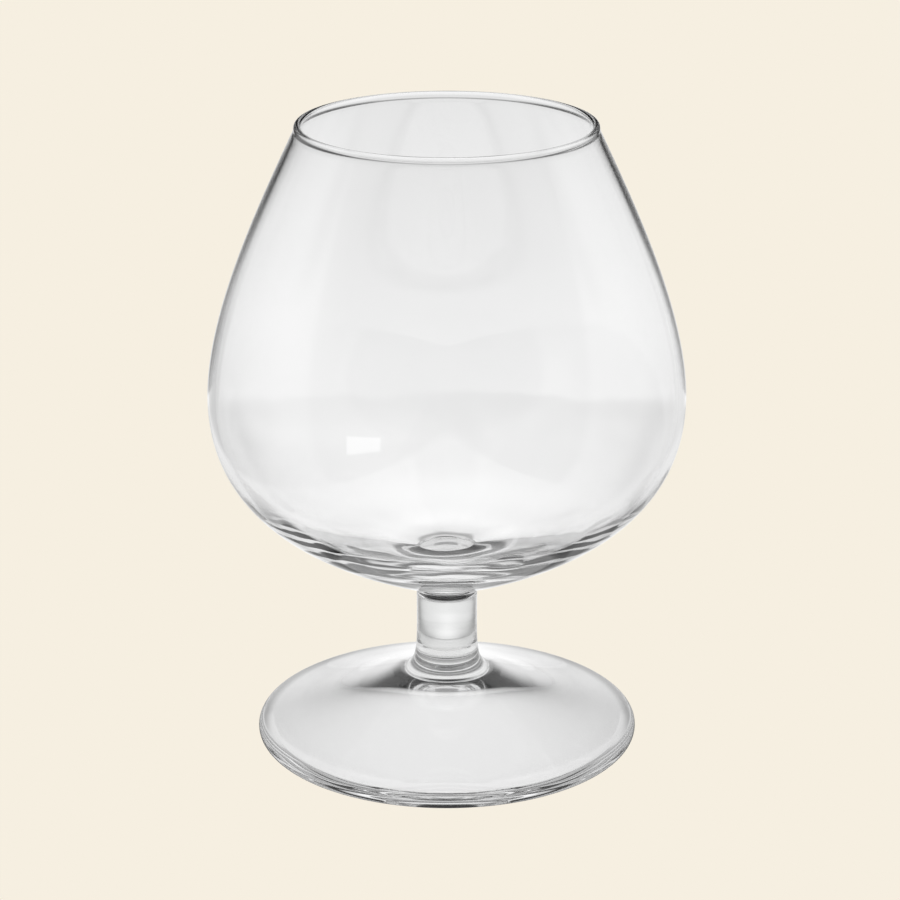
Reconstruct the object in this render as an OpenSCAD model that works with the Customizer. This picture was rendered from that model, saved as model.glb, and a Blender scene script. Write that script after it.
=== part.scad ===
// Brandy snifter of clear pressed and blown glass: a wide bowl, a short stem and a round foot.
// Origin at the centre of the ring that the foot rests on, +Z up, sizes in millimetres.

/* [Bowl] */
// Height of the bowl, from its joint with the stem to the top of the rim
bowl_h = 96.3; // [88:0.1:110]
// Outside diameter of the bowl at its widest
belly_d = 94; // [88:0.5:102]
// Height of the widest place above the joint
belly_h = 41.9; // [38:0.1:47]
// Outside diameter of the rim
rim_d = 58.5; // [52:0.1:64]
// Thickness of the rounded bead at the rim
rim_t = 1.4; // [1.3:0.05:2]
// Thickness of the wall just under that bead
rim_wall_t = 1.1; // [0.9:0.05:1.25]
// Length over which the bead thins to the wall
bead_h = 1.1; // [0.8:0.1:2]
// Lean of the wall at the rim, in degrees from upright
rim_lean = 24.8; // [20:0.1:28]
// Thickness of the wall at the widest place
wall_t = 1.5; // [1.1:0.05:2]
// Solid glass between the joint and the floor of the bowl
floor_t = 10.9; // [8:0.1:14]
// Slope of the underside beside the neck, in degrees
under_slope = 24; // [18:0.5:28]
// Straight height of the neck above the joint
neck_h = 1.45; // [0.8:0.05:2]
// Radius of the fillet between the neck and the underside
neck_fillet_r = 0.4; // [0.2:0.1:1.2]

/* [Stem] */
// Length of the stem between its two joints
stem_h = 16.4; // [12:0.1:24]
// Diameter of the stem at its top, where the bowl joins it
stem_top_d = 12.2; // [10:0.1:15]
// Diameter of the stem at its foot, where it spreads
stem_base_d = 17.2; // [15.5:0.1:20]
// Lean of the spread side at the lower joint, in degrees from upright
stem_spread = 56; // [40:1:60]

/* [Foot] */
// Height of the foot, from the table to its joint with the stem
foot_h = 13.7; // [12.5:0.1:16]
// Outside diameter of the foot
foot_d = 76.9; // [70:0.1:84]
// Thickness of the foot's rounded edge
foot_edge_t = 3.5; // [2.8:0.1:4]
// Slope of the top of the foot at its edge, in degrees
foot_slope = 13.7; // [11:0.1:16]
// Width of the flat ring that the foot rests on
rest_w = 2.1; // [1:0.1:3]
// Slope of the hollow beside that ring, in degrees
hollow_slope = 5.6; // [3:0.1:10]
// Diameter of the domed middle of the hollow
dome_d = 29.8; // [26:0.2:34]
// Height of the hollow at the edge of that dome
dome_edge_h = 5.5; // [4.5:0.1:6.2]
// Height of the hollow at its centre
hollow_h = 8.6; // [7.4:0.1:9.4]

/* [Joints] */
// Depth of the fine crease that is left around each joint
crease = 0.12; // [0.05:0.01:0.3]

/* [Hidden] */
$fn = 128;

// How far the outline's curves pull along their ends, as shares of the span
rim_pull_share = 0.226;
bead_pull_share = 0.45;
belly_up_share = 0.319;
belly_down_share = 0.577;
under_pull_share = 0.55;
floor_down_share = 0.66;
floor_pull_share = 0.636;
stem_top_share = 0.7;
stem_base_share = 0.21;
foot_top_share = 0.07;
foot_edge_share = 0.29;
hollow_pull_share = 0.33;
dome_edge_share = 0.33;
dome_top_share = 0.37;

// Slopes of the hollow outside and inside the edge of its dome, in degrees
dome_slope_out = 19;
dome_slope_in = 13.6;

// Straight pieces that each curve and each arc is drawn with
curve_steps = 28;
arc_steps = 10;

stem_z = foot_h;
bowl_z = foot_h + stem_h;
neck_r = stem_top_d / 2;
belly_r = belly_d / 2;
edge_r = foot_edge_t / 2;

// Points of a cubic curve from a to d that leaves towards b and arrives from c
function curve(a, b, c, d) = [
    for (i = [0 : curve_steps])
        let (t = i / curve_steps, u = 1 - t)
        u * u * u * a + 3 * u * u * t * b + 3 * u * t * t * c + t * t * t * d
];

// Points of an arc about a centre, from one angle to another
function arc(centre, r, from, to) = [
    for (i = [0 : arc_steps])
        let (angle = from + (to - from) * i / arc_steps)
        centre + r * [cos(angle), sin(angle)]
];

// A unit step at an angle from the outward direction
function heading(angle) = [cos(angle), sin(angle)];

// Bowl, from its joint face up the outside, over the rim and down the inside to the floor
function bowl_outline() =
    let (
        rim_centre = [rim_d / 2 - rim_t / 2, bowl_h - rim_t / 2],
        rim_out = rim_centre + rim_t / 2 * heading(rim_lean),
        rim_in = rim_centre - rim_t / 2 * heading(rim_lean),
        lean = heading(rim_lean - 90),
        wall_out = rim_centre + bead_h * lean + rim_wall_t / 2 * heading(rim_lean),
        wall_in = rim_centre + bead_h * lean - rim_wall_t / 2 * heading(rim_lean),
        belly_out = [belly_r, belly_h],
        belly_in = [belly_r - wall_t, belly_h],
        fillet_centre = [neck_r + neck_fillet_r, neck_h],
        fillet_end = fillet_centre + neck_fillet_r * heading(90 + under_slope),
        floor_middle = [0, floor_t],
        up_h = rim_out.y - belly_h,
        down_h = belly_h - fillet_end.y
    )
    concat(
        [[0, 0], [neck_r - crease, 0], [neck_r, crease]],
        arc(fillet_centre, neck_fillet_r, 180, 90 + under_slope),
        curve(
            fillet_end,
            fillet_end + under_pull_share * (belly_r - neck_r) * heading(under_slope),
            belly_out - [0, belly_down_share * down_h],
            belly_out
        ),
        curve(
            belly_out,
            belly_out + [0, belly_up_share * up_h],
            wall_out + rim_pull_share * up_h * lean,
            wall_out
        ),
        curve(
            wall_out,
            wall_out - bead_pull_share * bead_h * lean,
            rim_out + bead_pull_share * bead_h * lean,
            rim_out
        ),
        arc(rim_centre, rim_t / 2, rim_lean, 180 + rim_lean),
        curve(
            rim_in,
            rim_in + bead_pull_share * bead_h * lean,
            wall_in - bead_pull_share * bead_h * lean,
            wall_in
        ),
        curve(
            wall_in,
            wall_in + rim_pull_share * up_h * lean,
            belly_in + [0, belly_up_share * up_h],
            belly_in
        ),
        curve(
            belly_in,
            belly_in - [0, floor_down_share * (belly_h - floor_t)],
            floor_middle + [floor_pull_share * belly_in.x, 0],
            floor_middle
        )
    );

// Stem, from its lower joint face up its side to the joint with the bowl
function stem_outline() =
    let (
        base = [stem_base_d / 2, crease],
        top = [neck_r, stem_h - crease]
    )
    concat(
        [[0, 0], [base.x - crease, 0]],
        curve(
            base,
            base + stem_base_share * stem_h * heading(90 + stem_spread),
            top - [0, stem_top_share * stem_h],
            top
        ),
        [[neck_r - crease, stem_h], [0, stem_h]]
    );

// Foot, from its joint face out over the top, round the edge and in under the hollow
function foot_outline() =
    let (
        seat = [stem_base_d / 2, foot_h - crease],
        edge_centre = [foot_d / 2 - edge_r, edge_r],
        edge_top = edge_centre + edge_r * heading(90 - foot_slope),
        rest_in = [edge_centre.x - rest_w, 0],
        dome_edge = [dome_d / 2, dome_edge_h],
        hollow_pull = hollow_pull_share * (rest_in.x - dome_edge.x),
        hollow_centre = [0, hollow_h],
        spread = heading(stem_spread - 90),
        run = edge_top.x - seat.x
    )
    concat(
        [[0, foot_h], [seat.x - crease, foot_h]],
        curve(
            seat,
            seat + foot_top_share * run * spread,
            edge_top - foot_edge_share * run * heading(-foot_slope),
            edge_top
        ),
        arc(edge_centre, edge_r, 90 - foot_slope, -90),
        curve(
            rest_in,
            rest_in + hollow_pull * heading(180 - hollow_slope),
            dome_edge + hollow_pull * heading(-dome_slope_out),
            dome_edge
        ),
        curve(
            dome_edge,
            dome_edge + dome_edge_share * dome_edge.x * heading(180 - dome_slope_in),
            hollow_centre + [dome_top_share * dome_edge.x, 0],
            hollow_centre
        )
    );

module bowl() {
    color("#e4e9ec") translate([0, 0, bowl_z]) rotate_extrude() polygon(bowl_outline());
}

module stem() {
    color("#d3dadf") translate([0, 0, stem_z]) rotate_extrude() polygon(stem_outline());
}

module foot() {
    color("#dce2e6") rotate_extrude() polygon(foot_outline());
}

bowl();
stem();
foot();
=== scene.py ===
"""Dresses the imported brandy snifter: bowl, stem and foot of clear glass, and a plain pale studio."""

import math

import bpy
from bpy.props import FloatProperty, FloatVectorProperty, IntProperty, PointerProperty
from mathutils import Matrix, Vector


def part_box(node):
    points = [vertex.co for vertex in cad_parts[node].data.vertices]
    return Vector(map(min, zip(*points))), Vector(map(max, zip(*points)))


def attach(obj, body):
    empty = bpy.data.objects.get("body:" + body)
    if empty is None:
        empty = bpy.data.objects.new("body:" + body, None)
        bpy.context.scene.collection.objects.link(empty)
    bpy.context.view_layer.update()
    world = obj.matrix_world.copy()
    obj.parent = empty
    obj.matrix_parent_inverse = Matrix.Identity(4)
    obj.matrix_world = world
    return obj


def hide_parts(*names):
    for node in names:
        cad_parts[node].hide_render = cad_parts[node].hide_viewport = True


bl_info = {
    "name": "Brandy Snifter",
    "version": (1, 0, 0),
    "blender": (4, 5, 0),
    "location": "View3D > Sidebar > Snifter",
    "description": "Builds a clear glass brandy snifter around its packed frame, and a plain studio for it",
    "category": "Object",
}

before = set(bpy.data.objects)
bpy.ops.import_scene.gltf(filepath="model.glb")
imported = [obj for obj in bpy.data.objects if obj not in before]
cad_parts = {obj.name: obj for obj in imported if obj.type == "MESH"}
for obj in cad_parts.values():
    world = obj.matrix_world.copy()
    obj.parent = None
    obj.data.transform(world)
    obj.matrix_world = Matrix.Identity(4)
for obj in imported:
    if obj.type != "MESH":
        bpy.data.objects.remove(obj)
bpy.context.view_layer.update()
BOWL_LOW, BOWL_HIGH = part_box("bowl")
STEM_LOW, STEM_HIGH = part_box("stem")
FOOT_LOW, FOOT_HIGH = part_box("foot")

MM = 0.001


# Sizes and looks


def length(name, description, default):
    """A length in metres that a user may change."""
    return FloatProperty(name=name, description=description, default=default, min=0.0, precision=5,
                         subtype="DISTANCE", unit="LENGTH")


def slope(name, description, degrees):
    """An angle that a user may change."""
    return FloatProperty(name=name, description=description, default=math.radians(degrees), precision=4,
                         subtype="ANGLE", unit="ROTATION")


def share(name, description, default):
    """A plain share that a user may change."""
    return FloatProperty(name=name, description=description, default=default, min=0.0, max=1.0,
                         precision=4, subtype="FACTOR")


class SnifterBowlSizes(bpy.types.PropertyGroup):
    """Sizes of the blown bowl."""

    belly_width: length("Belly", "Outside diameter at the widest place", BOWL_HIGH.x - BOWL_LOW.x)
    belly_height: length("Belly height", "Height of the widest place above the joint", 41.9 * MM)
    rim_width: length("Rim", "Outside diameter of the rim", 58.5 * MM)
    bead: length("Bead", "Thickness of the rounded bead at the rim", 1.4 * MM)
    bead_fade: length("Bead fade", "Length over which the bead thins to the wall", 1.1 * MM)
    bead_shift: length("Bead shift", "How far the bead stands outwards from the wall's middle", 0.06 * MM)
    rim_wall: length("Rim wall", "Thickness of the wall just under the bead", 0.9 * MM)
    rim_lean: slope("Rim lean", "Lean of the wall at the rim from upright", 24.8)
    wall: length("Wall", "Thickness of the wall at the widest place", 1.5 * MM)
    floor: length("Floor", "Solid glass between the joint and the floor of the bowl", 10.9 * MM)
    under_slope: slope("Under slope", "Slope of the underside beside the neck", 24)
    neck_width: length("Neck", "Diameter of the neck at its joint with the stem", 12.2 * MM)
    neck_height: length("Neck height", "Straight height of the neck", 1.45 * MM)
    neck_fillet: length("Neck fillet", "Radius between the neck and the underside", 0.4 * MM)
    wave: length("Wave", "Height of the slow waves in the floor of the bowl", 0.16 * MM)


class SnifterStemSizes(bpy.types.PropertyGroup):
    """Sizes of the short stem."""

    base_width: length("Base", "Diameter of the stem where it meets the foot", STEM_HIGH.x - STEM_LOW.x)
    spread: slope("Spread", "Lean of the spread side at the foot from upright", 56)
    crease: length("Crease", "Depth of the fine crease round the lower joint", 0.12 * MM)
    groove: length("Groove", "Depth of the rounded groove round the upper joint", 0.22 * MM)
    groove_rise: length("Groove rise", "Height over which that groove rounds into the neck", 0.6 * MM)


class SnifterFootSizes(bpy.types.PropertyGroup):
    """Sizes of the round foot."""

    width: length("Foot", "Outside diameter of the foot", FOOT_HIGH.x - FOOT_LOW.x)
    edge: length("Edge", "Thickness of the rounded edge", 3.5 * MM)
    top_slope: slope("Top slope", "Slope of the top beside the edge", 13.7)
    rest: length("Rest", "Width of the flat ring that the foot rests on", 2.1 * MM)
    hollow_slope: slope("Hollow slope", "Slope of the hollow beside that ring", 5.6)
    dome_width: length("Dome", "Diameter of the domed middle of the hollow", 34.6 * MM)
    dome_height: length("Dome height", "Height of the hollow at the edge of that dome", 4.7 * MM)
    hollow: length("Hollow", "Height of the hollow at its centre", 8.6 * MM)


class SnifterGlassLook(bpy.types.PropertyGroup):
    """Colour and finish of the glass."""

    tint: FloatVectorProperty(name="Tint", description="Colour that the clear glass leaves in light",
                              default=(0.991, 0.9912, 0.991), size=3, min=0.0, max=1.0, subtype="COLOR")
    bend: FloatProperty(name="Bend", description="Refractive index of the glass", default=1.52, min=1.0,
                        max=2.0)
    ripple: share("Ripple", "Strength of the fine flow lines left by blowing and pressing", 0.10)
    wear: share("Wear", "Strength of the fine scratches", 0.10)
    turns: IntProperty(name="Turns", description="Flat sides that each round piece is spun with", default=256,
                       min=64, max=360)


class SnifterStudioLook(bpy.types.PropertyGroup):
    """Backdrop and light of the studio."""

    backdrop: FloatVectorProperty(name="Backdrop", description="Colour of the floor and the backdrop",
                                  default=(0.9216, 0.8632, 0.7529), size=3, min=0.0, max=1.0,
                                  subtype="COLOR")
    level: FloatProperty(name="Level", description="Brightness of the soft light round the glass",
                         default=1.0, min=0.0, max=4.0)


# Outlines

# How far the outlines' curves pull along their ends, as shares of what they span
RIM_PULL = 0.226
BEAD_PULL = 0.45
BELLY_UP_PULL = 0.319
BELLY_DOWN_PULL = 0.577
UNDER_PULL = 0.55
FLOOR_DOWN_PULL = 0.66
FLOOR_PULL = 0.636
STEM_TOP_PULL = 0.7
STEM_BASE_PULL = 0.21
FOOT_TOP_PULL = 0.07
FOOT_EDGE_PULL = 0.29
HOLLOW_PULL = 0.33
DOME_EDGE_PULL = 0.33
DOME_TOP_PULL = 0.37

# The groove round the upper joint: how its side on the bowl rounds, in shares of its depth and of its rise,
# and how its side on the stem rounds, in shares of its depth
GROOVE_IN_SHARE = 0.3
GROOVE_LOW_SHARE = 0.1
GROOVE_HIGH_SHARE = 0.6
GROOVE_STEM_SHARE = 0.5

# Slopes of the hollow just outside and just inside the edge of its dome, in degrees
DOME_SLOPE_OUT = 19
DOME_SLOPE_IN = 18.5


def heading(angle, reach=1.0):
    """A step in the outline's plane, at an angle from the outward direction."""
    return Vector((reach * math.cos(angle), 0.0, reach * math.sin(angle)))


def at(radius, height):
    """A point of the outline."""
    return Vector((radius, 0.0, height))


def line(start, end):
    """A straight stroke of the outline."""
    return (start, start.lerp(end, 1 / 3), start.lerp(end, 2 / 3), end)


def cut(stroke, parts):
    """The same curved stroke as several shorter ones."""
    pieces, rest = [], stroke
    for left in range(parts, 1, -1):
        t = 1 / left
        a, b, c, d = rest
        ab, bc, cd = a.lerp(b, t), b.lerp(c, t), c.lerp(d, t)
        abc, bcd = ab.lerp(bc, t), bc.lerp(cd, t)
        middle = abc.lerp(bcd, t)
        pieces.append((a, ab, abc, middle))
        rest = (middle, bcd, cd, d)
    return pieces + [rest]


def arc(centre, radius, start, end, parts):
    """Strokes that follow an arc from one angle to another."""
    step = (end - start) / parts
    pull = 4 / 3 * math.tan(step / 4) * radius
    strokes = []
    for i in range(parts):
        a, b = start + i * step, start + (i + 1) * step
        p, q = centre + heading(a, radius), centre + heading(b, radius)
        strokes.append((p, p + heading(a + math.pi / 2, pull), q - heading(b + math.pi / 2, pull), q))
    return strokes


def bowl_strokes(p, stem):
    """The bowl's outline from its joint face up the outside, over the rim and down to its floor."""
    low, tall = BOWL_LOW.z, BOWL_HIGH.z - BOWL_LOW.z
    neck, belly = p.neck_width / 2, p.belly_width / 2
    bead_r = p.bead / 2
    rim = at(p.rim_width / 2 - bead_r, low + tall - bead_r)
    rim_out, rim_in = rim + heading(p.rim_lean, bead_r), rim - heading(p.rim_lean, bead_r)
    below = rim + heading(p.rim_lean - math.pi / 2, p.bead_fade)
    wall_out = below + heading(p.rim_lean, p.rim_wall / 2 - p.bead_shift)
    wall_in = below - heading(p.rim_lean, p.rim_wall / 2 + p.bead_shift)
    swell = heading(p.rim_lean - math.pi / 2, BEAD_PULL * p.bead_fade)
    belly_out, belly_in = at(belly, low + p.belly_height), at(belly - p.wall, low + p.belly_height)
    fillet = at(neck + p.neck_fillet, low + p.neck_height)
    fillet_end = fillet + heading(math.pi / 2 + p.under_slope, p.neck_fillet)
    middle = at(0, low + p.floor)
    up, down = rim_out.z - belly_out.z, belly_out.z - fillet_end.z
    lean = heading(p.rim_lean - math.pi / 2, RIM_PULL * up)
    rise = at(0, BELLY_UP_PULL * up)
    groove = (at(neck - stem.groove, low),
              at(neck - GROOVE_IN_SHARE * stem.groove, low + GROOVE_LOW_SHARE * stem.groove_rise),
              at(neck, low + GROOVE_HIGH_SHARE * stem.groove_rise),
              at(neck, low + stem.groove_rise))
    underside = (fillet_end, fillet_end + heading(p.under_slope, UNDER_PULL * (belly - neck)),
                 belly_out - at(0, BELLY_DOWN_PULL * down), belly_out)
    floor = (belly_in, belly_in - at(0, FLOOR_DOWN_PULL * (belly_in.z - middle.z)),
             middle + at(FLOOR_PULL * belly_in.x, 0), middle)
    return [
        *cut(groove, parts=2),
        line(groove[-1], at(neck, low + p.neck_height)),
        *arc(fillet, p.neck_fillet, math.pi, math.pi / 2 + p.under_slope, parts=2),
        *cut(underside, parts=8),
        *cut((belly_out, belly_out + rise, wall_out + lean, wall_out), parts=7),
        (wall_out, wall_out - swell, rim_out + swell, rim_out),
        *arc(rim, bead_r, p.rim_lean, p.rim_lean + math.pi, parts=3),
        (rim_in, rim_in + swell, wall_in - swell, wall_in),
        *cut((wall_in, wall_in + lean, belly_in + rise, belly_in), parts=7),
        *cut(floor, parts=11),
    ]


def stem_strokes(p, bowl):
    """The stem's outline from its lower joint face up its side to the joint with the bowl."""
    low, tall = STEM_LOW.z, STEM_HIGH.z - STEM_LOW.z
    neck, base_r = bowl.neck_width / 2, p.base_width / 2
    base, top = at(base_r, low + p.crease), at(neck, low + tall - p.groove)
    side = (base, base + heading(math.pi / 2 + p.spread, STEM_BASE_PULL * tall),
            top - at(0, STEM_TOP_PULL * tall), top)
    return [
        line(at(base_r - p.crease, low), base),
        *cut(side, parts=7),
        (top, at(neck, low + tall - GROOVE_STEM_SHARE * p.groove),
         at(neck - GROOVE_STEM_SHARE * p.groove, low + tall), at(neck - p.groove, low + tall)),
    ]


def foot_strokes(p, stem):
    """The foot's outline from its joint face out over the top, round the edge and in under the hollow."""
    tall = FOOT_HIGH.z
    edge_r = p.edge / 2
    seat = at(stem.base_width / 2, tall - stem.crease)
    edge = at(p.width / 2 - edge_r, edge_r)
    edge_top = edge + heading(math.pi / 2 - p.top_slope, edge_r)
    rest_in = at(edge.x - p.rest, 0)
    run = edge_top.x - seat.x
    ring, centre = at(p.dome_width / 2, p.dome_height), at(0, p.hollow)
    pull = HOLLOW_PULL * (rest_in.x - ring.x)
    top = (seat, seat + heading(stem.spread - math.pi / 2, FOOT_TOP_PULL * run),
           edge_top - heading(-p.top_slope, FOOT_EDGE_PULL * run), edge_top)
    hollow = (rest_in, rest_in + heading(math.pi - p.hollow_slope, pull),
              ring + heading(math.radians(-DOME_SLOPE_OUT), pull), ring)
    dome = (ring, ring + heading(math.radians(180 - DOME_SLOPE_IN), DOME_EDGE_PULL * ring.x),
            centre + at(DOME_TOP_PULL * ring.x, 0), centre)
    return [
        line(at(seat.x - stem.crease, tall), seat),
        *cut(top, parts=9),
        *arc(edge, edge_r, math.pi / 2 - p.top_slope, -math.pi / 2, parts=4),
        line(at(edge.x, 0), rest_in),
        *cut(hollow, parts=6),
        *cut(dome, parts=5),
    ]


# Modelling

# Straight pieces that each stroke of an outline is drawn with
STROKE_STEPS = 6

# Corners that are closer than this, in metres, are one corner
SAME_CORNER = 1e-7

# The waves in the bowl: their size, and how high above its floor they start to fade and are gone
WAVE_SIZE = 11 * MM
WAVE_FADE = 6 * MM
WAVE_END = 26 * MM

# How far the surface has to face upwards to count as the inside of the lower bowl
UPWARD = 0.02


def clear_selection():
    """Leaves nothing selected and no piece in edit mode."""
    if bpy.context.object and bpy.context.object.mode != "OBJECT":
        bpy.ops.object.mode_set(mode="OBJECT")
    bpy.ops.object.select_all(action="DESELECT")


def spin_outline(name, strokes, turns):
    """Draws the outline as a curve, spins it round the glass's axis and closes the joint faces."""
    clear_selection()
    bpy.ops.curve.primitive_bezier_curve_add(location=(0, 0, 0))
    drawn = bpy.context.object
    drawn.name = name
    drawn.data.resolution_u = STROKE_STEPS
    spline = drawn.data.splines[0]
    spline.bezier_points.add(len(strokes) + 1 - len(spline.bezier_points))
    knots = spline.bezier_points
    for knot in knots:
        knot.handle_left_type = knot.handle_right_type = "FREE"
    for i, (start, leave, arrive, end) in enumerate(strokes):
        knots[i].co, knots[i].handle_right = start, leave
        knots[i + 1].co, knots[i + 1].handle_left = end, arrive
    knots[0].handle_left = knots[0].co
    knots[-1].handle_right = knots[-1].co
    bpy.ops.object.convert(target="MESH")
    piece = bpy.context.object
    piece.data.name = name
    bpy.ops.object.mode_set(mode="EDIT")
    bpy.ops.mesh.select_all(action="SELECT")
    bpy.ops.mesh.spin(steps=turns, angle=2 * math.pi, center=(0, 0, 0), axis=(0, 0, 1), use_auto_merge=True)
    bpy.ops.mesh.select_all(action="SELECT")
    bpy.ops.mesh.remove_doubles(threshold=SAME_CORNER)
    bpy.ops.mesh.select_all(action="DESELECT")
    bpy.ops.mesh.select_non_manifold(extend=False)
    bpy.ops.mesh.fill_holes(sides=0)
    bpy.ops.mesh.select_all(action="SELECT")
    bpy.ops.mesh.normals_make_consistent(inside=False)
    bpy.ops.object.mode_set(mode="OBJECT")
    bpy.ops.object.shade_smooth()
    return piece


def dress(piece, node, glass, joint):
    """Gives the piece its glass and its joint faces their own look, and puts it in its node's place."""
    piece.data.materials.append(glass)
    piece.data.materials.append(joint)
    for face in piece.data.polygons:
        # Only the round joint faces have more than four corners
        if len(face.vertices) > 4:
            face.material_index = 1
            face.use_smooth = False
    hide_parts(node)
    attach(piece, "root")


def wave_floor(piece, floor, height):
    """Gives the inside of the lower bowl the slow waves that gathered glass keeps."""
    low, high = floor + WAVE_FADE, floor + WAVE_END
    group = piece.vertex_groups.new(name="wavy")
    for v in piece.data.vertices:
        outward = v.normal.x * v.co.x + v.normal.y * v.co.y
        if v.normal.z > UPWARD and outward <= 0:
            t = min(1.0, max(0.0, (high - v.co.z) / (high - low)))
            group.add([v.index], t * t * (3 - 2 * t), "REPLACE")
    cloud = bpy.data.textures.new("slow_waves", "CLOUDS")
    cloud.noise_scale = WAVE_SIZE
    cloud.noise_depth = 1
    waves = piece.modifiers.new("waves", "DISPLACE")
    waves.texture = cloud
    waves.texture_coords = "LOCAL"
    waves.direction = "NORMAL"
    waves.vertex_group = group.name
    waves.mid_level = 0.5
    waves.strength = 2 * height
    clear_selection()
    piece.select_set(True)
    bpy.context.view_layer.objects.active = piece
    bpy.ops.object.modifier_apply(modifier=waves.name)


# Materials

# Each piece's flow lines: how many slow bands lie in a metre, and how many times closer they lie in height
BOWL_FLOW = (45.0, 2.0)
STEM_FLOW = (120.0, 3.0)
FOOT_FLOW = (80.0, 1.0)

# How much finer and weaker the fine flow lines are than the slow bands, and between which levels of their
# noise the slow bands pass from plain to deeper tint
FINE_FLOW = 4.0
FINE_SHARE = 0.15
BAND_LEVELS = (0.35, 0.65)

# How many times the tint is laid on: in the thick stem, and in the deeper bands of any piece
STEM_TINT = 22.0
BAND_TINT = 1.6

# Height of the flow lines that ripple 1 stands for, and roughness of a full scratch
RIPPLE_HEIGHT = 0.05 * MM
SCRATCH_ROUGHNESS = 0.25

# The crossing scratches: which way each set runs, in radians, and how close its lines lie; how far each set
# leans with that turn, and how far all do; the scale along the lines, which draws them out; and their width,
# as a share of the room between them
SCRATCH_SETS = ((0.3, 90.0), (1.4, 120.0), (2.5, 75.0))
SCRATCH_TURN_LEAN = 0.4
SCRATCH_LEAN = 0.2
SCRATCH_STRETCH = 0.06
SCRATCH_WIDTH = 0.012

# The patches that the scratches lie in: how close the patches lie, as a share of the lines' closeness, and
# between which levels of their noise the scratches set in
SCRATCH_PATCH_SHARE = 0.6
SCRATCH_PATCH_LEVELS = (0.55, 0.65)

# The seam is clear up to the first of these and a mirror from the second, where 0 is seen straight on and 1
# edge on
SEAM_CLEAR = 0.68
SEAM_MIRROR = 0.76


class Wiring:
    """Adds nodes to one tree and joins them."""

    def __init__(self, tree):
        self.tree = tree

    def node(self, kind, **settings):
        """A new node with the given settings."""
        made = self.tree.nodes.new(kind)
        for name, value in settings.items():
            setattr(made, name, value)
        return made

    def feed(self, socket, value):
        """Joins a socket to another, or sets its value."""
        if isinstance(value, bpy.types.NodeSocket):
            self.tree.links.new(value, socket)
        else:
            socket.default_value = value

    def math(self, operation, *values):
        """A sum on one to three values."""
        made = self.node("ShaderNodeMath", operation=operation)
        for socket, value in zip(made.inputs, values):
            self.feed(socket, value)
        return made.outputs[0]

    def ramp(self, value, low, high, to_low=0.0, to_high=1.0):
        """A smooth change from one level to another as the value rises."""
        made = self.node("ShaderNodeMapRange", interpolation_type="SMOOTHSTEP")
        for name, given in (("Value", value), ("From Min", low), ("From Max", high), ("To Min", to_low),
                            ("To Max", to_high)):
            self.feed(made.inputs[name], given)
        return made.outputs["Result"]

    def bump(self, value, middle, width):
        """A soft hump that is highest in the middle."""
        off = self.math("DIVIDE", self.math("SUBTRACT", value, middle), width)
        return self.math("EXPONENT", self.math("MULTIPLY", self.math("MULTIPLY", off, off), -1.0))

    def length(self, x, y):
        """How long a flat step is."""
        return self.math("SQRT", self.math("ADD", self.math("MULTIPLY", x, x), self.math("MULTIPLY", y, y)))

    def product(self, first, *others):
        """Several values multiplied."""
        for other in others:
            first = self.math("MULTIPLY", first, other)
        return first

    def total(self, first, *others):
        """Several values added."""
        for other in others:
            first = self.math("ADD", first, other)
        return first

    def blend(self, factor, first, second):
        """A value between two."""
        made = self.node("ShaderNodeMix", data_type="FLOAT")
        self.feed(made.inputs[0], factor)
        self.feed(made.inputs[2], first)
        self.feed(made.inputs[3], second)
        return made.outputs[0]

    def mix(self, factor, first, second):
        """A colour between two."""
        made = self.node("ShaderNodeMix", data_type="RGBA")
        self.feed(made.inputs[0], factor)
        self.feed(made.inputs[6], first)
        self.feed(made.inputs[7], second)
        return made.outputs[2]


def new_group(name, inputs, outputs):
    """An empty shader node group with named sockets."""
    group = bpy.data.node_groups.new(name, "ShaderNodeTree")
    for label, kind, default in inputs:
        socket = group.interface.new_socket(label, in_out="INPUT", socket_type=kind)
        if default is not None:
            socket.default_value = default
    for label, kind in outputs:
        group.interface.new_socket(label, in_out="OUTPUT", socket_type=kind)
    wires = Wiring(group)
    return group, wires, wires.node("NodeGroupInput"), wires.node("NodeGroupOutput")


def new_material(name, values):
    """A material whose shader has the given plain values, its wiring and that shader."""
    made = bpy.data.materials.new(name)
    made.use_nodes = True
    shader = made.node_tree.nodes["Principled BSDF"]
    for socket, value in values.items():
        shader.inputs[socket].default_value = value
    return made, Wiring(made.node_tree), shader


def flow_group():
    """Slow bands and fine lines that flowing glass leaves round the axis."""
    group, w, given, result = new_group(
        "glass_flow",
        [("Vector", "NodeSocketVector", None), ("Band Size", "NodeSocketFloat", 60.0),
         ("Stretch", "NodeSocketFloat", 3.0)],
        [("Height", "NodeSocketFloat"), ("Mask", "NodeSocketFloat")],
    )
    stretched = w.node("ShaderNodeCombineXYZ")
    for socket, value in zip(stretched.inputs, (1.0, 1.0, given.outputs["Stretch"])):
        w.feed(socket, value)
    scaled = w.node("ShaderNodeVectorMath", operation="MULTIPLY")
    w.feed(scaled.inputs[0], given.outputs["Vector"])
    w.feed(scaled.inputs[1], stretched.outputs[0])
    size = given.outputs["Band Size"]
    noises = []
    for scale in (size, w.math("MULTIPLY", size, FINE_FLOW)):
        noise = w.node("ShaderNodeTexNoise")
        w.feed(noise.inputs["Vector"], scaled.outputs[0])
        w.feed(noise.inputs["Scale"], scale)
        noise.inputs["Detail"].default_value = 1.0
        noises.append(noise.outputs[0])
    slow, fine = noises
    w.feed(result.inputs["Height"], w.math("ADD", slow, w.math("MULTIPLY", fine, FINE_SHARE)))
    w.feed(result.inputs["Mask"], w.ramp(slow, *BAND_LEVELS))
    return group


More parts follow.
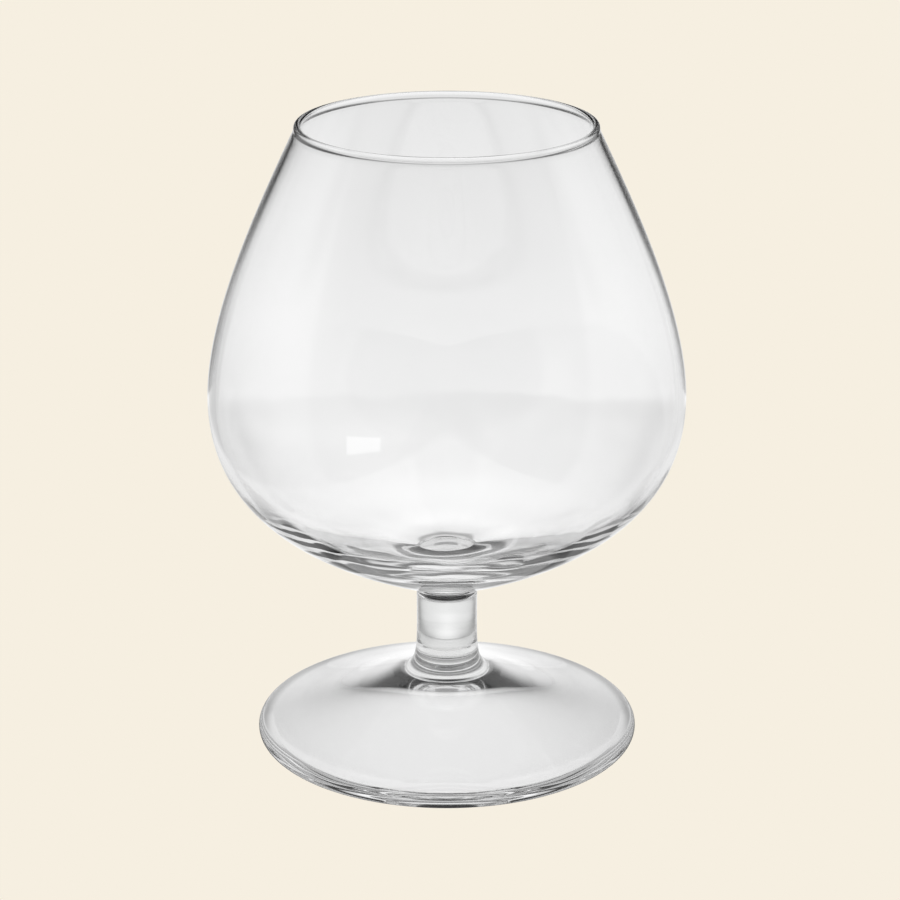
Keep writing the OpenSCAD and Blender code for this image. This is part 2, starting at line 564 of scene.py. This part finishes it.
def wear_group():
    """Fine crossing scratches that lie in patches."""
    group, w, given, result = new_group(
        "glass_wear",
        [("Vector", "NodeSocketVector", None), ("Amount", "NodeSocketFloat", 0.3)],
        [("Scratches", "NodeSocketFloat")],
    )
    lines = None
    for turn, size in SCRATCH_SETS:
        placed = w.node("ShaderNodeMapping")
        w.feed(placed.inputs["Vector"], given.outputs["Vector"])
        placed.inputs["Rotation"].default_value = (SCRATCH_TURN_LEAN * turn, SCRATCH_LEAN, turn)
        placed.inputs["Scale"].default_value = (1.0, SCRATCH_STRETCH, 1.0)
        cells = w.node("ShaderNodeTexVoronoi", feature="DISTANCE_TO_EDGE")
        w.feed(cells.inputs["Vector"], placed.outputs[0])
        cells.inputs["Scale"].default_value = size
        thin = w.ramp(cells.outputs["Distance"], 0.0, SCRATCH_WIDTH, 1.0, 0.0)
        patch = w.node("ShaderNodeTexNoise")
        w.feed(patch.inputs["Vector"], given.outputs["Vector"])
        patch.inputs["Scale"].default_value = size * SCRATCH_PATCH_SHARE
        thin = w.math("MULTIPLY", thin, w.ramp(patch.outputs[0], *SCRATCH_PATCH_LEVELS))
        lines = thin if lines is None else w.math("MAXIMUM", lines, thin)
    w.feed(result.inputs["Scratches"], w.math("MULTIPLY", lines, given.outputs["Amount"]))
    return group


def glass_material(name, look, flow, depth=1.0):
    """Clear glass with flow lines, faint changes of tint and light wear; depth makes the tint deeper."""
    made, w, glass = new_material(name, {"Transmission Weight": 1.0, "IOR": look.bend})
    place = w.node("ShaderNodeTexCoord").outputs["Object"]
    flows = w.node("ShaderNodeGroup", node_tree=shared(flow_group))
    w.feed(flows.inputs["Vector"], place)
    flows.inputs["Band Size"].default_value, flows.inputs["Stretch"].default_value = flow
    worn = w.node("ShaderNodeGroup", node_tree=shared(wear_group))
    w.feed(worn.inputs["Vector"], place)
    worn.inputs["Amount"].default_value = look.wear
    tint = (*(c ** depth for c in look.tint), 1.0)
    deeper = (*(c ** (BAND_TINT * depth) for c in look.tint), 1.0)
    w.feed(glass.inputs["Base Color"], w.mix(flows.outputs["Mask"], tint, deeper))
    w.feed(glass.inputs["Roughness"], w.math("MULTIPLY", worn.outputs["Scratches"], SCRATCH_ROUGHNESS))
    bump = w.node("ShaderNodeBump")
    bump.inputs["Strength"].default_value = look.ripple
    bump.inputs["Distance"].default_value = RIPPLE_HEIGHT
    w.feed(bump.inputs["Height"], flows.outputs["Height"])
    w.feed(glass.inputs["Normal"], bump.outputs[0])
    return made


def joint_material():
    """The face inside the glass where two pieces are fused so well that it can't be seen."""
    made, _, _ = new_material("fused_joint", {"Base Color": (1, 1, 1, 1), "Transmission Weight": 1.0,
                                              "Roughness": 0.0, "IOR": 1.0, "Alpha": 0.0})
    return made


def seam_material():
    """The seam inside the glass between bowl and stem: clear, but a mirror where it is seen edge on."""
    made, w, shader = new_material("fused_seam", {"Base Color": (1, 1, 1, 1), "Metallic": 1.0,
                                                  "Roughness": 0.0})
    low = w.node("ShaderNodeLayerWeight")
    low.inputs["Blend"].default_value = 0.5
    w.feed(shader.inputs["Alpha"], w.ramp(low.outputs["Facing"], SEAM_CLEAR, SEAM_MIRROR))
    return made


# What more than one piece uses, by the name of the function that makes it
SHARED = {}


def shared(maker):
    """The group or material that this function makes, made only once."""
    if maker.__name__ not in SHARED:
        SHARED[maker.__name__] = maker()
    return SHARED[maker.__name__]


# Studio

# The studio is measured in millimetres from the middle of the foot: x to the right, y to the back, z up.
# Half the way between the side cards, how far cards and table run, how high the cards stand and where the
# table lies that the glass mirrors
CARD_X = 120.0
RUN = 2500.0
CARD_TOP = 600.0
TABLE_Z = -0.4

# The shade that the glass casts round its foot. A turn is -1 straight in front of the glass and 1 straight
# behind it, and the other places are distances from its axis
FOOT_SHADE = {
    # The turns between which the front passes to the sides, and the sides to the back
    "front_to_side": (-0.85, -0.55), "side_to_back": (0.5, 0.8),
    # Where the shade starts under the foot, and how much sooner it does in front
    "start": (34.5, 38.3), "sooner": 2.0,
    # How bright its darkest place is in front and behind, and the turns between which that changes
    "darkest": (0.03, 0.5), "darkest_turn": (-0.05, 0.3),
    # Where it ends in front, behind and at the sides, where a last share of it ends later
    "front_end": (41.0, 49.0), "back_end": (39.5, 44.5),
    "side_end": (38.5, 47.0), "last_share": 0.15, "last_end": (46.0, 60.0),
}

# The light of the white table without that shade
TABLE = {
    # How bright it is in front and behind, and where the one passes to the other
    "level": (0.772, 1.01), "rise": (-10.7, 116.0),
    # What it loses far behind, and where
    "far_loss": -0.217, "far": (16.0, 722.0),
    # What the foot gathers under itself, and where that ends
    "under_foot": 0.128, "under_foot_end": (27.6, 47.6),
}

# The table's lighter and darker patches. What each adds at its most, and where it starts and ends: to the
# right (x), to the back (y) or to either side (aside). A hump has a middle and a reach instead
TABLE_PATCHES = (
    # Light that the bowl gathers behind the foot: a wide patch and a small one
    {"adds": 0.148, "hump_x": (0.0, 50.3), "hump_y": (78.6, 28.7)},
    {"adds": 0.20, "hump_x": (0.0, 12.0), "hump_y": (54.0, 14.0)},
    # Shade behind the foot's middle and, stronger, at both sides of its back half
    {"adds": -0.0752, "end_aside": (60.0, 110.0), "hump_y": (34.9, 11.9)},
    {"adds": -0.3008, "start_aside": (3.0, 18.0), "end_aside": (60.0, 110.0), "hump_y": (34.9, 11.9)},
    # Dimmer near the cards behind the glass, and a little brighter farther back
    {"adds": -0.165, "start_aside": (30.0, 90.0), "start_y": (0.0, 96.0), "end_y": (190.0, 220.0)},
    {"adds": 0.051, "start_aside": (35.0, 62.0), "start_y": (215.0, 300.0), "end_y": (450.0, 700.0)},
    # Dimmer on the right of the foot, and brighter close to each card
    {"adds": -0.07, "start_x": (5.0, 60.0), "hump_y": (0.0, 45.0)},
    {"adds": 0.094, "end_x": (-68.0, -64.0), "hump_y": (-20.0, 60.0)},
    {"adds": 0.06, "start_x": (80.0, 84.0), "hump_y": (-35.0, 30.0)},
    # A faint dark band across the table behind the glass, with a sharp far side, darker on the right
    {"adds": -0.041, "start_y": (150.0, 200.0), "end_y": (203.0, 212.0)},
    {"adds": -0.034, "start_x": (-10.0, 30.0), "start_y": (150.0, 200.0), "end_y": (203.0, 212.0)},
)

# The side cards
LEFT_CARD = {
    # How bright its plane is far in front, nearer and on the card itself
    "front": 0.35, "near": 0.362, "card": 0.612,
    # Where the card's front edge meets the table, and how far back it leans for each step up
    "edge": -98.0, "edge_lean": 0.28,
    # Its glows, each a hump along the card (y) and in height (z), with its middle and its reach
    "glows": ({"adds": 0.073, "hump_y": (103.0, 35.0), "hump_z": (88.0, 47.0)},
              {"adds": 0.31, "hump_y": (-46.0, 37.0), "hump_z": (95.0, 91.0)}),
    # Where the card darkens behind the glass, how far that leans, and half the way over which it fades
    "back": 291.0, "back_lean": -1.53, "back_fade": 47.0,
}
RIGHT_CARD = {
    "front": 0.32, "near": 0.40, "card": 0.73,
    "edge": -100.0, "edge_lean": 0.38,
    "glows": ({"adds": 0.215, "hump_y": (135.0, 45.5), "hump_z": (74.0, 50.0)},),
    "back": 231.0, "back_lean": -0.886, "back_fade": 40.5,
}

# Both cards: where the dark in front of them passes to its nearer brightness, up to what height their front
# edge and their back lean, and half the softness of that edge
CARD_FRONT = (-300.0, -60.0)
EDGE_TOP = 165.0
BACK_TOP = 190.0
EDGE_SOFT = 3.0

# Behind, both cards pass into a bright strip low down and the dark above it: how far in front of the glass
# the slope to a place is taken from, the slopes between which the strip turns dark, and both brightnesses
DARK_REACH = 80.0
DARK_SLOPE = (0.05, 0.32)
DARK_LEVEL = (0.78, 0.05)

# The window in the left card's plane: its brightness, and where each of its soft sides starts and ends
WINDOW = {
    "bright": 2.2, "near": (-232.0, -226.0), "far": (-141.0, -136.0),
    "low": (40.0, 45.0), "high": (64.0, 67.0),
}

# The rest of the room: its brightness just above the table's end, higher up behind the glass, in front of
# the glass and overhead, and the degrees between which each passes to the next
ROOM = {
    "low": 0.8, "low_to_back": (3.0, 16.0),
    "back": 0.04, "back_to_front": (60.0, 120.0),
    "front": 0.337, "level_to_top": (30.0, 75.0),
    "top": 0.056,
}

# The floor that the camera sees, in metres
FLOOR_RADIUS = 1.6
FLOOR_Z = -0.02 * MM

# The camera, in millimetres and degrees
CAMERA_PLACE = (0.62, -534.58, 247.329)
CAMERA_DIP = 19.287387
CAMERA_LENS = 114.2698
CAMERA_SENSOR = 36.0

# How often light may pass or bounce in the glass, and how often it may pass a clear face
BOUNCES = 24
CLEAR_BOUNCES = 32


def contact_shade(w, y, out):
    """What the glass leaves of the light on the table: a thin dark ring round its foot."""
    shade = FOOT_SHADE
    turn = w.math("DIVIDE", y, w.math("MAXIMUM", out, 1.0))
    sooner = w.ramp(turn, *shade["front_to_side"], shade["sooner"], 0.0)
    darkest = w.ramp(turn, *shade["darkest_turn"], *shade["darkest"])
    inner = w.ramp(w.math("ADD", out, sooner), *shade["start"], 1.0, darkest)
    last = shade["last_share"]
    side = w.math("ADD", w.ramp(out, *shade["side_end"], 0.0, 1.0 - last),
                  w.ramp(out, *shade["last_end"], 0.0, last))
    behind = w.blend(w.ramp(turn, *shade["side_to_back"]), side, w.ramp(out, *shade["back_end"]))
    outer = w.blend(w.ramp(turn, *shade["front_to_side"]), w.ramp(out, *shade["front_end"]), behind)
    return w.math("MAXIMUM", inner, outer)


def patch_light(w, places, patch):
    """What one soft patch adds to the light of the sheet that it lies on."""
    light = patch["adds"]
    for way, place in places.items():
        if "start_" + way in patch:
            light = w.product(light, w.ramp(place, *patch["start_" + way]))
        if "end_" + way in patch:
            light = w.product(light, w.ramp(place, *patch["end_" + way], 1.0, 0.0))
        if "hump_" + way in patch:
            light = w.product(light, w.bump(place, *patch["hump_" + way]))
    return light


def table_light(w, x, y, _):
    """How bright the white table is: shaded round the foot, bright behind the glass, and dim far away."""
    out = w.length(x, y)
    places = {"x": x, "y": y, "aside": w.math("ABSOLUTE", x)}
    level = w.total(w.ramp(y, *TABLE["rise"], *TABLE["level"]),
                    w.ramp(y, *TABLE["far"], 0.0, TABLE["far_loss"]),
                    w.ramp(out, *TABLE["under_foot_end"], TABLE["under_foot"], 0.0),
                    *(patch_light(w, places, patch) for patch in TABLE_PATCHES))
    return w.product(contact_shade(w, y, out), level)


def card_light(w, y, z, card):
    """How bright an upright side card is: its front edge leans, and it fades into the dark behind."""
    level = w.ramp(y, *CARD_FRONT, card["front"], card["near"])
    edge = w.math("MULTIPLY_ADD", w.math("MINIMUM", z, EDGE_TOP), card["edge_lean"], card["edge"])
    level = w.blend(w.ramp(w.math("SUBTRACT", y, edge), -EDGE_SOFT, EDGE_SOFT), level, card["card"])
    level = w.total(level, *(patch_light(w, {"y": y, "z": z}, glow) for glow in card["glows"]))
    back = w.math("MULTIPLY_ADD", w.math("MINIMUM", z, BACK_TOP), card["back_lean"], card["back"])
    fade = w.ramp(w.math("SUBTRACT", y, back), -card["back_fade"], card["back_fade"])
    rise = w.math("DIVIDE", z, w.math("ADD", w.math("MAXIMUM", y, 0.0), DARK_REACH))
    return w.blend(fade, level, w.ramp(rise, *DARK_SLOPE, *DARK_LEVEL))


def window_light(w, y, z):
    """A small bright window in the left card's plane, which only the outside of the glass mirrors."""
    outside = w.math("LESS_THAN", w.node("ShaderNodeLightPath").outputs["Transmission Depth"], 0.5)
    return w.product(WINDOW["bright"], outside, w.ramp(y, *WINDOW["near"]),
                     w.ramp(y, *WINDOW["far"], 1.0, 0.0), w.ramp(z, *WINDOW["low"]),
                     w.ramp(z, *WINDOW["high"], 1.0, 0.0))


def left_light(w, _, y, z):
    """How bright the left card is, with the window in its plane."""
    return w.total(card_light(w, y, z, LEFT_CARD), window_light(w, y, z))


def right_light(w, _, y, z):
    """How bright the right card is."""
    return card_light(w, y, z, RIGHT_CARD)


def room_light(w, way, el):
    """How bright the rest of the room is, by the degrees from straight behind the glass and from level."""
    behind = w.ramp(el, *ROOM["low_to_back"], ROOM["low"], ROOM["back"])
    level = w.blend(w.ramp(w.math("ABSOLUTE", way), *ROOM["back_to_front"]), behind, ROOM["front"])
    return w.blend(w.ramp(el, *ROOM["level_to_top"]), level, ROOM["top"])


def bare_material(name):
    """A material without a shader, its wiring and the socket for its surface."""
    made = bpy.data.materials.new(name)
    made.use_nodes = True
    nodes = made.node_tree.nodes
    nodes.remove(nodes["Principled BSDF"])
    return made, Wiring(made.node_tree), nodes["Material Output"].inputs["Surface"]


def shining(name, light, level):
    """A surface that glows in grey, as brightly in each place as the given maker of nodes says."""
    made, w, surface = bare_material(name)
    made.cycles.emission_sampling = "NONE"
    place = w.node("ShaderNodeVectorMath", operation="SCALE")
    w.feed(place.inputs[0], w.node("ShaderNodeNewGeometry").outputs["Position"])
    place.inputs["Scale"].default_value = 1 / MM
    split = w.node("ShaderNodeSeparateXYZ")
    w.feed(split.inputs[0], place.outputs[0])
    glow = w.node("ShaderNodeEmission")
    w.feed(glow.inputs["Strength"], w.math("MULTIPLY", light(w, *split.outputs), level))
    w.feed(surface, glow.outputs[0])
    return made


def studio_sheet(name, corners, light, level):
    """A flat sheet of the studio that lights the glass and that the camera doesn't see."""
    clear_selection()
    bpy.ops.mesh.primitive_plane_add(size=2)
    sheet = bpy.context.object
    sheet.name = name
    for vertex, corner in zip(sheet.data.vertices, corners):
        vertex.co = Vector(corner) * MM
    sheet.data.materials.append(shining(name, light, level))
    sheet.visible_camera = False
    sheet.visible_shadow = False


def lay_floor(pale):
    """Lays the round floor that only the camera sees, and only from above."""
    clear_selection()
    bpy.ops.mesh.primitive_circle_add(vertices=96, radius=FLOOR_RADIUS, fill_type="NGON",
                                      location=(0, 0, FLOOR_Z))
    floor = bpy.context.object
    floor.name = "studio_floor"
    made, w, surface = bare_material("studio_floor")
    glow = w.node("ShaderNodeEmission")
    glow.inputs["Color"].default_value = pale
    clear = w.node("ShaderNodeBsdfTransparent")
    side = w.node("ShaderNodeMixShader")
    w.feed(side.inputs[0], w.node("ShaderNodeNewGeometry").outputs["Backfacing"])
    w.feed(side.inputs[1], glow.outputs[0])
    w.feed(side.inputs[2], clear.outputs[0])
    w.feed(surface, side.outputs[0])
    floor.data.materials.append(made)
    floor.visible_diffuse = floor.visible_glossy = floor.visible_transmission = False
    floor.visible_shadow = floor.visible_volume_scatter = False


def stand_sheets(level):
    """Lays the white table and stands the two side cards, which only the glass sees."""
    table = [(x, y, TABLE_Z) for y in (-RUN, RUN) for x in (-CARD_X, CARD_X)]
    left, right = ([(x, y, z) for z in (TABLE_Z, CARD_TOP) for y in (-RUN, RUN)] for x in (-CARD_X, CARD_X))
    studio_sheet("studio_table", table, table_light, level)
    studio_sheet("studio_card_left", left, left_light, level)
    studio_sheet("studio_card_right", right, right_light, level)


def light_room(scene, level, pale):
    """Makes the room that the glass sees past the cards, and the plain backdrop that the camera sees."""
    world = bpy.data.worlds.new("studio")
    scene.world = world
    world.use_nodes = True
    world.cycles.sampling_method = "NONE"
    w = Wiring(world.node_tree)
    split = w.node("ShaderNodeSeparateXYZ")
    w.feed(split.inputs[0], w.node("ShaderNodeTexCoord").outputs["Generated"])
    x, y, z = split.outputs
    way = w.math("MULTIPLY", w.math("ARCTAN2", x, y), 180 / math.pi)
    el = w.math("MULTIPLY", w.math("ARCSINE", z), 180 / math.pi)
    bright = w.math("MULTIPLY", room_light(w, way, el), level)
    grey = w.node("ShaderNodeCombineColor")
    for socket in grey.inputs:
        w.feed(socket, bright)
    seen = w.node("ShaderNodeLightPath").outputs["Is Camera Ray"]
    w.feed(world.node_tree.nodes["Background"].inputs["Color"], w.mix(seen, grey.outputs[0], pale))


def set_camera(scene):
    """Puts the camera in front of the glass and a little above it."""
    bpy.ops.object.camera_add(location=tuple(c * MM for c in CAMERA_PLACE),
                              rotation=(math.radians(90 - CAMERA_DIP), 0, 0))
    camera = bpy.context.object
    camera.name = "photo_camera"
    camera.data.sensor_width = CAMERA_SENSOR
    camera.data.lens = CAMERA_LENS
    camera.data.clip_start = 0.01
    camera.data.clip_end = 50.0
    scene.camera = camera


def allow_bounces(scene):
    """Lets light go through the thick glass as often as it needs, with plain colours."""
    scene.view_settings.view_transform = "Standard"
    cycles = scene.cycles
    cycles.max_bounces = cycles.transmission_bounces = cycles.glossy_bounces = BOUNCES
    cycles.transparent_max_bounces = CLEAR_BOUNCES
    cycles.caustics_reflective = cycles.caustics_refractive = True
    cycles.blur_glossy = 0.0
    cycles.sample_clamp_indirect = 0.0
    cycles.use_denoising = True


# Operators


class SNIFTER_OT_bowl(bpy.types.Operator):
    """Spin the bowl and give it its glass"""

    bl_idname = "snifter.bowl"
    bl_label = "Bowl"

    def execute(self, context):
        s = context.scene
        outline = bowl_strokes(s.snifter_bowl, s.snifter_stem)
        piece = spin_outline("bowl_glass", outline, s.snifter_glass.turns)
        wave_floor(piece, BOWL_LOW.z + s.snifter_bowl.floor, s.snifter_bowl.wave)
        glass = glass_material("bowl_glass", s.snifter_glass, BOWL_FLOW)
        dress(piece, "bowl", glass, shared(seam_material))
        return {"FINISHED"}


class SNIFTER_OT_stem(bpy.types.Operator):
    """Spin the stem and give it its glass"""

    bl_idname = "snifter.stem"
    bl_label = "Stem"

    def execute(self, context):
        s = context.scene
        outline = stem_strokes(s.snifter_stem, s.snifter_bowl)
        piece = spin_outline("stem_glass", outline, s.snifter_glass.turns)
        glass = glass_material("stem_glass", s.snifter_glass, STEM_FLOW, STEM_TINT)
        dress(piece, "stem", glass, shared(joint_material))
        return {"FINISHED"}


class SNIFTER_OT_foot(bpy.types.Operator):
    """Spin the foot and give it its glass"""

    bl_idname = "snifter.foot"
    bl_label = "Foot"

    def execute(self, context):
        s = context.scene
        outline = foot_strokes(s.snifter_foot, s.snifter_stem)
        piece = spin_outline("foot_glass", outline, s.snifter_glass.turns)
        glass = glass_material("foot_glass", s.snifter_glass, FOOT_FLOW)
        dress(piece, "foot", glass, shared(joint_material))
        return {"FINISHED"}


class SNIFTER_OT_stage(bpy.types.Operator):
    """Lay the pale floor, hang the soft light and set the camera"""

    bl_idname = "snifter.stage"
    bl_label = "Stage"

    def execute(self, context):
        look = context.scene.snifter_studio
        pale = (*look.backdrop, 1.0)
        lay_floor(pale)
        stand_sheets(look.level)
        light_room(context.scene, look.level, pale)
        set_camera(context.scene)
        allow_bounces(context.scene)
        return {"FINISHED"}


# The scene's settings: the name of each group, its class, and its own step, where it has one
SETTINGS = (
    ("snifter_glass", SnifterGlassLook, None),
    ("snifter_bowl", SnifterBowlSizes, SNIFTER_OT_bowl),
    ("snifter_stem", SnifterStemSizes, SNIFTER_OT_stem),
    ("snifter_foot", SnifterFootSizes, SNIFTER_OT_foot),
    ("snifter_studio", SnifterStudioLook, SNIFTER_OT_stage),
)


class SNIFTER_PT_sidebar(bpy.types.Panel):
    """Lists the snifter's sizes and its steps"""

    bl_idname = "SNIFTER_PT_sidebar"
    bl_label = "Brandy Snifter"
    bl_space_type = "VIEW_3D"
    bl_region_type = "UI"
    bl_category = "Snifter"

    def draw(self, context):
        for group, _, step in SETTINGS:
            box = self.layout.box()
            settings = getattr(context.scene, group)
            for name in settings.bl_rna.properties.keys():
                if name not in ("rna_type", "name"):
                    box.prop(settings, name)
            if step:
                box.operator(step.bl_idname)


CLASSES = (*(kind for _, kind, _ in SETTINGS), *(step for _, _, step in SETTINGS if step), SNIFTER_PT_sidebar)


def register():
    """Makes the snifter's sizes, steps and panel known."""
    for made in CLASSES:
        bpy.utils.register_class(made)
    for name, kind, _ in SETTINGS:
        setattr(bpy.types.Scene, name, PointerProperty(type=kind))


def unregister():
    """Takes them away again."""
    for name, _, _ in SETTINGS:
        delattr(bpy.types.Scene, name)
    for made in reversed(CLASSES):
        bpy.utils.unregister_class(made)


def main():
    """Builds the snifter piece by piece, then the stage."""
    register()
    bpy.ops.snifter.bowl()
    bpy.ops.snifter.stem()
    bpy.ops.snifter.foot()
    bpy.ops.snifter.stage()


if __name__ == "__main__":
    main()
